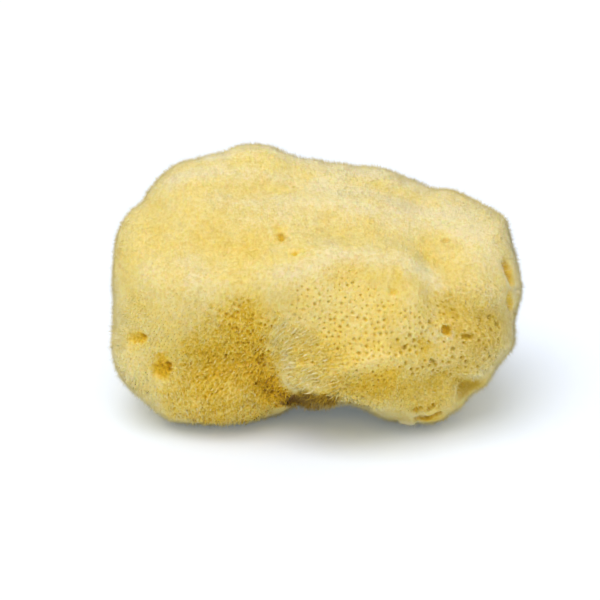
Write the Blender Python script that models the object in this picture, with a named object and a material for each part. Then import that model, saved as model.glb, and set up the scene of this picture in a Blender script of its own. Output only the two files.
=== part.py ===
"""A natural bath sponge that lies on its side, modelled as the one piece that it grew as.

The body is one closed skin over rounded lobes that have grown together, sized on a dry sponge about 101 mm long.
It is worn flat where it rests, and its larger water outlets are cut into it as narrowing funnels.
Run it with: blender --background --python part.py
"""

from dataclasses import dataclass

import bmesh
import bpy
from mathutils import Matrix, Vector
from mathutils.bvhtree import BVHTree

MM = 0.001

# Driving dimensions, in millimetres. X runs along the sponge, Y to its back and Z up from the surface it lies on.
GRAIN = 2.8
SMOOTHING_ROUNDS = 7
SMOOTHING = 0.5
LOBE_DIVISIONS = 4
FOOT_WEAR = 1.2
FLOOR_BLOCK = (140.0, 120.0, 20.0)
FUNNEL_SIDES = 10
FUNNEL_RISE = 1.0
FUNNEL_FLARE = 0.6
FUNNEL_END = 0.45

SPONGE_COLOUR = (0.79, 0.63, 0.25, 1.0)
SPONGE_ROUGHNESS = 0.95


@dataclass(frozen=True)
class Lobe:
    """A rounded swelling: an ellipsoid with its centre and its three radii."""

    name: str
    centre: tuple
    radii: tuple


@dataclass(frozen=True)
class Outlet:
    """A funnel that water left by: a point near its mouth, the width of the mouth and the depth."""

    name: str
    near: tuple
    width: float
    depth: float


LOBES = (
    Lobe("heart", (0, 3.5, 35), (40, 26, 23)),
    Lobe("front band", (-5, -5.5, 38), (36, 24, 18)),
    Lobe("left side", (-31, -1.5, 33), (19.5, 27, 22)),
    Lobe("left shoulder", (-27, 6.5, 42), (18.5, 22, 20.5)),
    Lobe("left brow", (-37, -2.5, 41), (13.5, 19, 12.5)),
    Lobe("crown", (-16, 12.5, 46), (18.5, 17, 19)),
    Lobe("ridge", (5, 11.5, 40), (25, 19, 20)),
    Lobe("right shoulder", (26, 9.5, 35), (22, 22, 20.5)),
    Lobe("right brow", (36, 0.5, 37), (13, 22, 13.5)),
    Lobe("right end", (34, -1.5, 29), (16.5, 25, 19)),
    Lobe("left foot", (-25, -3.5, 17), (20, 23, 17)),
    Lobe("left toe", (-38, -5.5, 19), (13, 19, 14)),
    Lobe("right foot", (24, -5.5, 17), (17, 21, 17)),
    Lobe("front bulge", (10, -16.5, 26), (22, 19, 17)),
    Lobe("cleft floor", (2, -1.5, 16), (20, 20, 12)),
    Lobe("back left", (-20, 15.5, 21), (24, 20, 21)),
    Lobe("back right", (18, 15.5, 21), (25, 19, 21)),
)

OUTLETS = (
    Outlet("middle", (-9, -18, 51), 4.5, 5.0),
    Outlet("middle low", (-5, -22, 49), 3.0, 3.0),
    Outlet("centre", (7, -20, 49), 3.0, 2.0),
    Outlet("right high", (31, -8, 47), 3.5, 4.0),
    Outlet("right dip", (28, -14, 44), 4.0, 2.5),
    Outlet("bulge high", (19, -20, 43), 4.5, 3.0),
    Outlet("bulge low", (18, -24, 39), 4.0, 3.5),
    Outlet("right front", (31, -26, 30), 4.5, 6.0),
    Outlet("right rim", (36, -26, 29), 3.0, 3.0),
    Outlet("end high", (47, -8, 39), 6.0, 6.0),
    Outlet("end low", (47, -14, 34), 4.5, 5.0),
    Outlet("left high", (-43, -22, 27), 4.5, 4.0),
    Outlet("left low", (-37, -24, 20), 6.5, 6.5),
    Outlet("heel", (36, -20, 14), 6.5, 5.0),
    Outlet("fur", (-3, -32, 25), 3.5, 3.0),
    Outlet("crown", (-14, 2, 59), 3.5, 3.0),
    Outlet("top", (16, 6, 56), 4.5, 5.0),
    Outlet("back crown", (-25, 24, 47), 5.0, 5.0),
    Outlet("back middle", (0, 34, 36), 6.0, 6.5),
    Outlet("back right", (28, 28, 34), 5.0, 5.0),
    Outlet("back left", (-36, 22, 26), 5.5, 5.5),
    Outlet("back low", (10, 34, 18), 5.0, 5.0),
    Outlet("left end", (-50, 4, 36), 5.0, 5.0),
    Outlet("left end low", (-49, 6, 20), 4.5, 4.5),
    Outlet("right end back", (47, 12, 28), 5.5, 5.5),
)


def add_object(name, mesh):
    """Puts a finished mesh into the scene as an object of its own."""
    data = bpy.data.meshes.new(name)
    mesh.to_mesh(data)
    mesh.free()
    thing = bpy.data.objects.new(name, data)
    bpy.context.scene.collection.objects.link(thing)
    return thing


def add_cutter(name, mesh):
    """Puts a mesh into the scene as a guide that only cuts."""
    cutter = add_object(name, mesh)
    cutter.hide_render = True
    cutter.display_type = "WIRE"
    return cutter


def lobe_matrix(lobe):
    """Where a ball of radius 1 goes, and how it is stretched, to become the lobe."""
    place = Matrix.Translation(Vector(lobe.centre) * MM)
    stretch = Matrix.Diagonal((*(Vector(lobe.radii) * MM), 1.0))
    return place @ stretch


def grow_body():
    """All the lobes, grown together under one skin and softened where they meet."""
    lobes = bmesh.new()
    for lobe in LOBES:
        bmesh.ops.create_icosphere(lobes, subdivisions=LOBE_DIVISIONS, radius=1.0, matrix=lobe_matrix(lobe))
    body = add_object("sponge", lobes)
    skin = body.modifiers.new("skin", "REMESH")
    skin.mode = "VOXEL"
    skin.voxel_size = GRAIN * MM
    soften = body.modifiers.new("soften", "SMOOTH")
    soften.factor = SMOOTHING
    soften.iterations = SMOOTHING_ROUNDS
    return body


def settle(body):
    """Centres the body over the origin and sets it down so that the floor wears its feet flat."""
    grown = body.evaluated_get(bpy.context.evaluated_depsgraph_get()).to_mesh()
    places = [vertex.co for vertex in grown.vertices]
    low = Vector(min(place[axis] for place in places) for axis in range(3))
    high = Vector(max(place[axis] for place in places) for axis in range(3))
    middle = (low + high) / 2
    floor = low.z + FOOT_WEAR * MM
    body.data.transform(Matrix.Translation((-middle.x, -middle.y, -floor)))


def make_floor():
    """The block below the surface that the sponge lies on, which wears its feet flat."""
    block = bmesh.new()
    place = Matrix.Translation((0, 0, -FLOOR_BLOCK[2] / 2 * MM))
    stretch = Matrix.Diagonal((*(Vector(FLOOR_BLOCK) * MM), 1.0))
    bmesh.ops.create_cube(block, size=1.0, matrix=place @ stretch)
    return add_cutter("floor block", block)


def cut(body, cutter):
    """Takes the cutter's shape out of the body."""
    step = body.modifiers.new(cutter.name, "BOOLEAN")
    step.operation = "DIFFERENCE"
    step.solver = "EXACT"
    step.object = cutter


def make_funnels(body):
    """One guide with a narrowing funnel for every outlet, square to the skin where its mouth is."""
    skin = BVHTree.FromObject(body, bpy.context.evaluated_depsgraph_get())
    funnels = bmesh.new()
    for outlet in OUTLETS:
        mouth, outward, _, _ = skin.find_nearest(Vector(outlet.near) * MM)
        length = (outlet.depth + FUNNEL_RISE) * MM
        middle = mouth + outward * (FUNNEL_RISE * MM - length / 2)
        bmesh.ops.create_cone(
            funnels,
            cap_ends=True,
            segments=FUNNEL_SIDES,
            radius1=outlet.width * FUNNEL_END / 2 * MM,
            radius2=outlet.width * FUNNEL_FLARE * MM,
            depth=length,
            matrix=Matrix.Translation(middle) @ outward.to_track_quat("Z", "Y").to_matrix().to_4x4(),
        )
    return add_cutter("outlet funnels", funnels)


def sponge_material():
    """Dry pale yellow fibre with no shine."""
    material = bpy.data.materials.new("dry fibre")
    material.use_nodes = True
    shader = material.node_tree.nodes["Principled BSDF"]
    shader.inputs["Base Color"].default_value = SPONGE_COLOUR
    shader.inputs["Roughness"].default_value = SPONGE_ROUGHNESS
    shader.inputs["Metallic"].default_value = 0.0
    return material


def main():
    for old in list(bpy.data.objects):
        bpy.data.objects.remove(old)
    body = grow_body()
    settle(body)
    cutters = [make_floor(), make_funnels(body)]
    for cutter in cutters:
        cut(body, cutter)
    body.data.materials.append(sponge_material())


if __name__ == "__main__":
    main()
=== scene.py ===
"""A dry bath sponge of fine yellow fibre that lies on a white studio floor.

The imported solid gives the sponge's size, place and large shape. A fine skin takes its place and carries the
swells and hollows, the water outlets and the open pores. A coat of short fibres grows on the skin, and every
kind of surface has fibres of its own length, lean and colour.

Lengths in tables and fields are in millimetres where nothing else is said, and shares run from 0 to 1.
Places are in metres.
"""

import sys

import logging
import math
from collections.abc import Iterable, Sequence
from dataclasses import dataclass, field
from enum import Enum

import bmesh
import bpy
import numpy as np
from mathutils import Matrix, Vector, noise
from mathutils.bvhtree import BVHTree
from mathutils.kdtree import KDTree


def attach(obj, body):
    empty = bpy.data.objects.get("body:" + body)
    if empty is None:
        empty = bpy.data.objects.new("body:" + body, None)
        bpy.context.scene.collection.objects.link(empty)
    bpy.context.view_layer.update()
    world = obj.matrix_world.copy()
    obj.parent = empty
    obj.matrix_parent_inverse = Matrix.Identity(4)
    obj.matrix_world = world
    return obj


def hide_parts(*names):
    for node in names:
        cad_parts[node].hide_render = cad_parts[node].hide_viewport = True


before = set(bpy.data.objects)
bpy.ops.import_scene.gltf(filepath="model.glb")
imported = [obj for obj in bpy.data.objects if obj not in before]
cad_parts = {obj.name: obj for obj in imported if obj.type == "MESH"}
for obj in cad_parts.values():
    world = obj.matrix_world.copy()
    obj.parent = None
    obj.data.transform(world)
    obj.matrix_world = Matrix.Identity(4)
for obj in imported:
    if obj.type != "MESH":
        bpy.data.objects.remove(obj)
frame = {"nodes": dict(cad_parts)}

MM = 0.001
SEED = 8

log = logging.getLogger("sponge")

Array = np.ndarray
Mesh = bmesh.types.BMesh
Object = bpy.types.Object
Pair = tuple[float, float]
Triple = tuple[float, float, float]
Colour = Triple
# A pixel of the photograph, or a point in millimetres.
Spot = tuple[float, ...]
Faces = tuple[tuple[int, int, int], ...]
Layer = tuple[float, float, int]


class Kind(Enum):
    """The kinds of surface apart from plain velvet. Where they meet, the first of them hides the rest."""

    BRISTLE = "bristle"
    FUR = "fur"
    FLEECE = "fleece"
    CLOSE = "close"
    PINHOLE = "pinhole"
    MAT = "mat"


@dataclass(frozen=True)
class Growth:
    """How fibres grow on one kind of surface.

    Attributes:
        density: Fibres on a square millimetre.
        length: Their mean length.
        width: Their width at the root.
        spread: How far they lean at random.
        lean: How far they lean along the comb.
        gather: How far their tips are drawn together into tufts.
        tone: The colour of their roots and of the skin, from 0 for brown to 1 for cream.
        run: How much paler they are at the tip.
        vary: How much they differ in tone and width, where the stout ones are the pale ones.
        mound: How high the skin swells under a tuft.
        grain: How strongly the skin's own tone varies from place to place.
        lock: How wide the locks are that stand between the single fibres.
        gap_shade: How much painted shade darkens the fibres at the root and the skin between the tufts.
    """

    density: float
    length: float
    width: float
    spread: float
    lean: float
    gather: float
    tone: float
    run: float
    vary: float
    mound: float
    grain: float
    lock: float
    gap_shade: float


@dataclass(frozen=True)
class Pits:
    """The open pores of one kind of surface.

    Attributes:
        pitch: The distance between them.
        radius: Half the width of their mouths.
        depth: How deep they go.
        tone: How much browner they are painted inside, as painted shade and the richer colour that light
            takes on in them.
        painted_shade: How much painted shade darkens them inside.
    """

    pitch: float
    radius: float
    depth: float
    tone: float
    painted_shade: float


@dataclass(frozen=True)
class Patch:
    """A rounded patch of one kind of surface.

    Attributes:
        spot: Its middle.
        radius: How far it reaches.
        soft: How much of that its edge takes up to fade out.
        full: How strong it is in its middle.
    """

    spot: Spot
    radius: float
    soft: float = 0.5
    full: float = 1.0


@dataclass(frozen=True)
class Mark:
    """Something on the skin that runs along a short path.

    Attributes:
        path: Its spots.
        radius: How far it reaches to either side.
    """

    path: tuple[Spot, ...]
    radius: float


@dataclass(frozen=True)
class Stain(Mark):
    """A paler or browner stretch of skin.

    Attributes:
        tone: How much paler it is, or with a value below zero browner.
        painted_shade: How much painted shade darkens it.
    """

    tone: float
    painted_shade: float = 0.0


@dataclass(frozen=True)
class Swell(Mark):
    """A swelling, or with a height below zero a hollow.

    Attributes:
        height: How far it stands proud.
    """

    height: float


@dataclass(frozen=True)
class Outlet(Mark):
    """A hole that water left by.

    Attributes:
        depth: How deep it goes.
        tone: How much browner it is painted inside, as painted shade and the richer colour that light takes
            on in it.
        soft: How much of its width the rounding of its rim takes up.
        painted_shade: How much painted shade darkens it inside.
    """

    depth: float
    tone: float
    soft: float = 0.9
    painted_shade: float = 0.0


@dataclass(frozen=True)
class Pore:
    """One open pore: the middle of its mouth and what its kind says of it, with lengths in metres."""

    place: Vector
    radius: float
    depth: float
    tone: float
    painted_shade: float


# How high the skin has to be to swell in full, in millimetres, and how fast swells and creases fall off.
REST_HEIGHT = 1.5
SWELL_STEEPNESS = 1.6
# How much longer tufts are along the comb than across it, from 0 to 1.
TUFT_STRETCH = 0.8

# Layers of soft random values: how strong each is, the millimetres over which it changes, and its pattern.
SKIN_WAVES = ((0.50, 13.0, 3), (0.25, 5.5, 4))
PATCH_EDGES = ((0.25, 6.0, 1), (0.25, 2.2, 2))
STAIN_EDGES = ((0.4, 3.0, 11), (0.6, 8.0, 13))
OUTLET_EDGES = ((0.35, 1.8, 9),)
PORE_CROWDS = ((0.2, 5.0, 12),)
TONE_CLOUDS = ((0.05, 16.0, 7), (0.05, 8.0, 14), (0.05, 4.0, 8))
# The same for the skin's grain, with its strength on calm skin and what rough kinds of surface add to that.
SKIN_GRAIN = ((0.05, 0.12, 2.4, 5), (0.02, 0.08, 1.1, 6))

TONES = (
    (0.0, (0.28, 0.13, 0.010)),
    (0.2, (0.64, 0.36, 0.012)),
    (0.4, (0.83, 0.535, 0.038)),
    (0.6, (0.875, 0.655, 0.140)),
    (0.8, (0.875, 0.715, 0.265)),
    (1.0, (0.885, 0.77, 0.43)),
)
# The colour that painted shade darkens the fibre towards.
PAINTED_SHADE_COLOUR = (0.46, 0.29, 0.022)

VELVET = Growth(11.0, 0.85, 0.052, 0.45, 0.30, 0.00, 0.80, 0.10, 0.07, 0.02, 0.35, 0.00, 0.03)
GROWTHS = {
    Kind.FLEECE: Growth(4.0, 0.70, 0.110, 0.50, 0.80, 0.45, 0.522, 0.16, 0.10, 0.18, 0.80, 0.42, 0.22),
    Kind.FUR: Growth(6.0, 0.95, 0.100, 0.40, 1.50, 0.45, 0.69, 0.15, 0.10, 0.11, 0.60, 0.36, 0.15),
    Kind.PINHOLE: Growth(8.0, 0.38, 0.075, 0.50, 0.20, 0.20, 0.75, 0.12, 0.08, 0.04, 0.50, 0.22, 0.08),
    Kind.CLOSE: Growth(7.0, 0.50, 0.095, 0.50, 0.40, 0.35, 0.74, 0.13, 0.08, 0.05, 0.62, 0.26, 0.14),
    Kind.MAT: Growth(7.0, 0.65, 0.090, 0.60, 0.80, 0.40, 0.73, 0.13, 0.08, 0.07, 0.65, 0.30, 0.18),
    Kind.BRISTLE: Growth(14.0, 1.30, 0.095, 0.90, 0.80, 0.15, 0.07, 0.14, 0.17, 0.06, 0.60, 0.24, 0.05),
}
PITS = {
    Kind.CLOSE: Pits(1.55, 0.27, 0.55, 0.30, 0.52),
    Kind.FLEECE: Pits(1.20, 0.27, 0.48, 0.19, 0.18),
    Kind.FUR: Pits(2.40, 0.28, 0.50, 0.14, 0.10),
    Kind.PINHOLE: Pits(1.18, 0.205, 0.50, 0.28, 0.30),
}

# Where UV places have to lie, and how far apart those of one face's corners are kept, across and along.
UV_LOW, UV_HIGH = 0.02, 0.98
UV_ACROSS, UV_ALONG = (-0.008, 0.008, 0.0), (0.0, 0.0, -0.015)

# The corners of a spike's faces. Its tip is the last corner. A bent spike has a second ring half way up.
SPIKE = ((0, 1, 3), (1, 2, 3), (2, 0, 3), (0, 2, 1))
BENT_SPIKE = (
    (0, 1, 4), (0, 4, 3), (1, 2, 5), (1, 5, 4), (2, 0, 3),
    (2, 3, 5), (3, 4, 6), (4, 5, 6), (5, 3, 6), (0, 2, 1),
)

# The photograph's outline, in pixels.
OUTLINE = (
    (120, 224), (126, 214), (132, 208), (139, 203), (143, 202), (144, 196), (149, 189), (155, 181),
    (162, 174), (170, 167), (180, 161), (192, 159), (200, 157), (213, 153), (225, 151), (232, 146),
    (245, 143), (260, 143), (272, 145), (281, 150), (291, 154), (304, 158), (318, 159), (330, 162),
    (348, 163), (355, 166), (368, 165), (381, 167), (392, 170), (405, 176), (416, 179), (424, 184),
    (434, 189), (450, 188), (462, 193), (475, 199), (487, 206), (498, 211), (506, 218), (508, 224),
    (511, 236), (514, 248), (518, 262), (521, 275), (523, 288), (521, 300), (517, 312), (515, 322),
    (516, 332), (515, 345), (512, 352), (504, 360), (495, 371), (490, 381), (485, 388), (478, 391),
    (472, 395), (466, 402), (460, 409), (450, 415), (443, 421), (431, 425), (418, 424), (410, 425),
    (402, 422), (390, 422), (380, 419), (370, 412), (362, 408), (350, 404), (338, 404), (333, 407),
    (320, 409), (308, 409), (300, 405), (290, 409), (283, 414), (270, 418), (255, 422), (240, 424),
    (225, 426), (205, 425), (180, 424), (168, 421), (158, 414), (149, 406), (140, 399), (131, 391),
    (123, 382), (116, 370), (112, 356), (110, 340), (112, 320), (113, 300), (112, 280), (113, 262),
    (114, 245), (117, 232),
)

PATCHES = {
    Kind.BRISTLE: (
        Patch((293, 401), 2.4, 0.5), Patch((301, 397), 3.0, 0.5), Patch((309, 398), 3.3, 0.5),
        Patch((318, 399), 3.4, 0.5), Patch((327, 400), 3.3, 0.5), Patch((303, 402), 2.5, 0.6),
        Patch((314, 404), 2.5, 0.6), Patch((325, 403), 2.5, 0.6),
    ),
    Kind.FUR: (
        Patch((291, 345), 7.0, 0.35), Patch((306, 359), 7.0, 0.35), Patch((303, 380), 4.5, 0.4),
        Patch((325, 371), 6.5, 0.6, 0.9), Patch((326, 392), 5, 0.6), Patch((345, 388), 6, 0.9, 0.8),
        Patch((0, 34, 12), 8),
    ),
    Kind.FLEECE: (
        Patch((246, 340), 9.5, 0.9), Patch((230, 365), 10.5, 0.9), Patch((218, 396), 10, 0.9),
        Patch((252, 400), 8.5, 0.7), Patch((284, 400), 5, 0.5), Patch((206, 372), 9, 1.2, 0.8),
        Patch((240, 320), 7, 1.2, 0.8), Patch((162, 370), 2.4, 0.7), Patch((139, 338), 1.6, 0.7),
        Patch((212, 412), 8, 0.8), Patch((245, 412), 7, 0.7), Patch((188, 406), 7, 1.0, 0.7),
        Patch((393, 387), 6, 1.0, 0.5), Patch((-30, 28, 18), 11, 1.1), Patch((-12, 33, 14), 10, 1.1),
    ),
    Kind.CLOSE: (
        Patch((484, 340), 6), Patch((446, 352), 7), Patch((468, 356), 7), Patch((410, 362), 6),
        Patch((46, 8, 20), 10, 1.2), Patch((-45, 14, 16), 8),
    ),
    Kind.PINHOLE: (
        Patch((338, 290), 6.5, 0.6, 0.55), Patch((318, 316), 8, 0.6, 0.62), Patch((352, 316), 9, 0.6, 0.75),
        Patch((350, 348), 9), Patch((388, 342), 10), Patch((424, 336), 9), Patch((372, 366), 7),
        Patch((14, 33, 28), 12), Patch((32, 26, 22), 9),
    ),
    Kind.MAT: (
        Patch((260, 371), 5.0, 0.6), Patch((276, 388), 4.2, 0.5), Patch((375, 392), 8, 0.8),
        Patch((410, 392), 9, 0.8), Patch((445, 380), 8, 0.8), Patch((480, 360), 7, 0.8),
        Patch((475, 308), 7, 0.8), Patch((345, 395), 6, 0.8), Patch((145, 340), 10, 1.0, 0.9),
        Patch((145, 375), 10, 1.0, 0.9), Patch((180, 395), 9, 1.0, 0.8), Patch((190, 330), 9, 1.0, 0.6),
    ),
}

STAINS = (
    # Painted light: these two bands run along the ridges and paint them paler where they catch the light.
    Stain(((175, 180), (240, 172), (350, 190), (450, 215)), 3.0, 0.18),
    Stain(((215, 200), (310, 200), (380, 215), (470, 235)), 3.0, 0.14),
    Stain(((470, 215), (485, 250)), 7.0, 0.16),
    # Painted light: paler along the ridge above the fleece, where it catches the light.
    Stain(((285, 275), (315, 262), (345, 252), (400, 262), (432, 278)), 3.0, 0.18),
    Stain(((195, 262), (195, 295)), 4.0, 0.07), Stain(((200, 242), (250, 248), (285, 258)), 4.0, -0.03),
    Stain(((244, 322), (250, 340)), 4.5, -0.08), Stain(((292, 401), (303, 399)), 2.2, 0.05),
    # Painted shade: darker and browner at the bottom of the cleft.
    Stain(((264, 378), (277, 390), (289, 400)), 3.8, -0.34),
    # Painted light: paler along the lit edge of the bulge that overhangs the cleft.
    Stain(((277, 345), (288, 362), (300, 377), (314, 388)), 2.4, 0.09),
    Stain(((135, 235), (128, 320)), 10.0, -0.05),
    Stain(((160, 225), (250, 225), (330, 240)), 12.0, 0.02, 0.05),
    Stain(((300, 225), (400, 212)), 7.0, 0.05), Stain(((222, 362), (226, 358)), 6.0, -0.07),
    # Painted shade: browner and darker on the lower facet, which faces down away from the light.
    Stain(((374, 389), (405, 391), (440, 402)), 6.5, -0.13, 0.10),
    # Painted shade: darker on the facet below the ridge at the right, which turns away from the light.
    Stain(((462, 306), (500, 318)), 6.0, -0.04, 0.24),
    # Painted sheen: paler along the top edge, where fuzz catches the light at a grazing angle.
    Stain(((215, 156), (300, 160), (420, 188)), 5.0, 0.16),
    # Painted shade: darker on the lower right, which faces away from the light.
    Stain(((468, 340), (498, 342)), 6.0, -0.03, 0.12), Stain(((440, 375), (476, 370)), 6.0, -0.03, 0.12),
    # Painted shadow: dark in the notch at the lower right.
    Stain(((461, 384), (472, 386), (465, 393)), 2.1, -0.15, 0.55),
    # Painted light: the first mark below paints the right rim paler, where fuzz catches the light.
    Stain(((512, 286), (516, 310), (512, 340)), 3.0, 0.12), Stain(((425, 348),), 3.0, -0.14),
    Stain(((385, 378),), 3.5, -0.10), Stain(((400, 330), (440, 336)), 2.0, 0.10),
    Stain(((408, 422), (417, 417)), 1.5, 0.20), Stain(((415, 419), (438, 419)), 1.5, -0.25),
    Stain(((344, 247), (348, 248)), 1.2, -0.13), Stain(((256, 177), (262, 179)), 1.5, -0.10),
    Stain(((374, 184), (379, 183)), 1.2, -0.11), Stain(((396, 190), (401, 191)), 1.0, -0.09),
    Stain(((369, 221), (372, 221)), 1.0, -0.10), Stain(((496, 236), (498, 241)), 1.0, -0.12),
    Stain(((396, 269), (398, 275)), 1.1, -0.16), Stain(((426, 254), (438, 262)), 2.4, -0.10),
    Stain(((0, 0, 0),), 30.0, -0.08), Stain(((-30, 28, 16), (-8, 33, 12)), 9.0, -0.12),
    Stain(((14, 30, 48), (-20, 30, 46)), 8.0, 0.12), Stain(((40, 18, 40), (48, 4, 34)), 8.0, 0.08),
)

SWELLS = (
    Swell(((150, 278), (230, 290), (295, 272), (350, 257), (415, 280)), 6, 1.2),
    Swell(((150, 205), (165, 240), (240, 248), (330, 228)), 7, -1.4),
    Swell(((330, 228), (400, 240)), 6, -0.6), Swell(((405, 262), (424, 282), (416, 300)), 7, 1.5),
    Swell(((175, 185), (240, 178), (310, 176), (380, 183), (440, 200)), 4, 0.35),
    Swell(((205, 193), (262, 190), (320, 190), (380, 196)), 5, -0.3),
    Swell(((255, 203), (300, 198), (345, 203), (410, 214), (460, 228)), 4, 0.5),
    Swell(((200, 160), (250, 151), (300, 160)), 4, 0.3), Swell(((452, 312), (494, 322)), 5.5, -1.4),
    Swell(((325, 298), (392, 298)), 9, 1.7), Swell(((340, 352), (395, 350)), 9, -1.2),
    Swell(((246, 342), (262, 372)), 7, 0.9), Swell(((400, 285), (410, 330)), 4, 0.5),
    Swell(((310, 290), (350, 275)), 6, -0.6), Swell(((345, 372), (370, 362), (400, 362)), 3, 1.0),
    Swell(((362, 388), (400, 390), (440, 382)), 5, -1.3), Swell(((405, 350), (440, 347)), 3.5, -0.6),
    Swell(((225, 315), (250, 325)), 9, 0.6), Swell(((235, 392),), 6, 1.0),
    Swell(((270, 348), (284, 370), (298, 382), (316, 389), (336, 392)), 2.8, 0.8),
    Swell(((252, 354), (261, 368)), 3.0, 0.9), Swell(((461, 383), (473, 386), (466, 393)), 2.3, -2.8),
    Swell(((422, 420), (436, 420)), 1.5, -1.0), Swell(((448, 296), (478, 290), (500, 296)), 3.5, 1.0),
)

CREASES = (
    Swell(((446, 338), (464, 345), (473, 351)), 0.7, 0.12),
    Swell(((401, 419), (412, 422), (417, 416)), 0.8, 0.9), Swell(((453, 329), (452, 336)), 0.5, 0.3),
)

OUTLETS = (
    Outlet(((279, 230), (280, 239)), 1.3, 0.6, 0.16, 1.9, 0.1),
    Outlet(((280, 234), (281, 237)), 0.7, 0.9, 0.22, 1.3, 0.3), Outlet(((295, 252),), 1.1, 0.4, 0.14, 1.9),
    Outlet(((295, 253),), 0.6, 0.6, 0.20, 1.3, 0.2), Outlet(((445, 240),), 0.7, 0.9, 0.16, 0.9, 0.25),
    Outlet(((393, 292),), 0.8, 0.5, 0.16, 1.2, 0.1),
    Outlet(((446, 331), (447, 331)), 1.15, 1.3, 0.42, 0.35, 0.15),
    Outlet(((464, 337), (470, 337)), 0.6, 0.8, 0.32, 0.6, 0.45),
    Outlet(((508, 267), (511, 277)), 1.6, 1.6, 0.46, 1.2, 0.4),
    Outlet(((510, 297), (511, 304)), 1.3, 0.9, 0.38, 1.4, 0.3),
    Outlet(((133, 338), (142, 337)), 1.2, 0.9, 0.24, 1.9, 0.15),
    Outlet(((142, 338),), 0.6, 0.6, 0.16, 1.2, 0.2), Outlet(((163, 360), (161, 371)), 1.7, 1.2, 0.28, 1.8),
    Outlet(((168, 366), (170, 370)), 0.7, 0.8, 0.20, 1.2, 0.3),
    Outlet(((303, 361),), 0.9, 0.7, 0.14, 1.3, 0.1), Outlet(((430, 322),), 0.5, 0.8, 0.24, 0.6, 0.4),
    Outlet(((410, 335),), 0.5, 0.8, 0.22, 0.6, 0.4), Outlet(((405, 347),), 0.5, 0.8, 0.20, 0.6, 0.4),
    Outlet(((431, 361), (435, 362)), 0.5, 0.9, 0.26, 0.6, 0.6),
    Outlet(((497, 324),), 0.5, 0.8, 0.26, 0.6, 0.5),
    Outlet(((415, 411), (419, 409)), 0.8, 1.1, 0.30, 0.8, 0.35),
    Outlet(((430, 409), (433, 406)), 0.7, 1.0, 0.30, 0.8, 0.35),
    Outlet(((420, 418), (428, 417), (437, 416)), 1.3, 1.6, 0.42, 0.6, 0.65),
    Outlet(((-25, 24, 47),), 1.6, 1.8, 0.40), Outlet(((0, 34, 36),), 2.2, 2.6, 0.48, 0.7),
    Outlet(((28, 28, 34),), 1.6, 2.0, 0.42), Outlet(((-36, 22, 26),), 1.8, 2.2, 0.45),
    Outlet(((10, 34, 18),), 1.6, 2.0, 0.42), Outlet(((-50, 4, 36),), 1.6, 1.6, 0.40),
    Outlet(((-49, 6, 20),), 1.5, 1.6, 0.40), Outlet(((47, 12, 28),), 1.8, 2.0, 0.42, 0.7),
)

# Strokes of the comb, which lay the fibres near them along their own way: where each starts and ends.
STROKES = (
    ((185, 330), (135, 335)), ((150, 375), (195, 402)), ((130, 300), (115, 330)), ((262, 330), (225, 352)),
    ((248, 372), (212, 392)), ((252, 345), (285, 395)), ((296, 405), (300, 394)), ((318, 404), (334, 396)),
    ((330, 345), (285, 352)), ((325, 372), (285, 376)), ((335, 382), (300, 384)), ((300, 180), (240, 178)),
    ((400, 240), (330, 250)), ((440, 300), (470, 330)), ((420, 380), (440, 405)),
    ((-20, 33, 40), (-26, 34, 20)), ((20, 33, 36), (28, 30, 18)),
)


@dataclass(frozen=True)
class PhotoView:
    """Where the photograph was taken from, and how its pixels lie over the sponge.

    Attributes:
        side: The photograph's width and height in pixels.
        pixel: What one pixel spans at the sponge, in metres.
        distance: From the camera to the point it is set by, in metres.
        elevation: How far the camera looks down, in radians.
        over: A point on the sponge's middle line, in metres.
        over_pixel: The pixel that shows that point.
        sensor: The camera sensor's width.
    """

    side: int = 600
    pixel: float = 0.244 * MM
    distance: float = 0.70
    elevation: float = math.radians(22.0)
    over: Triple = (0.0, 0.0, 31.8 * MM)
    over_pixel: Pair = (316.0, 284.0)
    sensor: float = 36.0

    @property
    def back(self) -> Vector:
        """The direction from the sponge to the camera."""
        return Vector((0.0, -math.cos(self.elevation), math.sin(self.elevation)))

    @property
    def place(self) -> Vector:
        """Where the camera stands."""
        return Vector(self.over) + self.back * self.distance

    @property
    def lens(self) -> float:
        """The focal length in millimetres."""
        return self.sensor * self.distance / (self.side * self.pixel)

    @property
    def step(self) -> float:
        """What a pixel spans at a distance of 1."""
        return self.sensor / self.side / self.lens

    @property
    def turn(self) -> Matrix:
        """How the camera is turned, so that the chosen point falls on its pixel."""
        across = (self.side / 2 - self.over_pixel[0]) * self.pixel
        down = (self.over_pixel[1] - self.side / 2) * self.pixel
        up = Vector((0.0, math.sin(self.elevation), math.cos(self.elevation)))
        centre = Vector(self.over) + Vector((across, 0.0, 0.0)) + up * down
        return (centre - self.place).to_track_quat("-Z", "Y").to_matrix()

    def ray(self, x: float, y: float) -> Vector:
        """The direction, of length 1, in which the pixel in a column and a row looks."""
        offset = ((x - self.side / 2) * self.step, (self.side / 2 - y) * self.step, -1.0)
        return (self.turn @ Vector(offset)).normalized()

    def pixels(self, points: Array) -> Array:
        """The column and the row of the pixel that shows each point."""
        seen = (points - np.array(self.place)) @ np.array(self.turn)
        return self.side / 2 + seen[:, :2] * (1.0, -1.0) / (-seen[:, 2:] * self.step)

    def build(self) -> None:
        """Makes the camera and gives it to the scene."""
        camera = add_object("camera", bpy.data.cameras.new("camera"))
        camera.data.sensor_width = self.sensor
        camera.data.lens = self.lens
        camera.location = self.place
        camera.rotation_euler = self.turn.to_euler()
        bpy.context.scene.camera = camera


def smooth_step(value: Array) -> Array:
    """Eases values from 0 to 1, level at both ends."""
    held = np.clip(value, 0.0, 1.0)
    return held * held * (3.0 - 2.0 * held)


def within(away: Array, soft: float) -> Array:
    """From 1 inside to 0 outside an edge that lies at a distance of 1 and is as wide as given."""
    return smooth_step((1.0 + soft / 2 - away) / soft)


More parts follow.
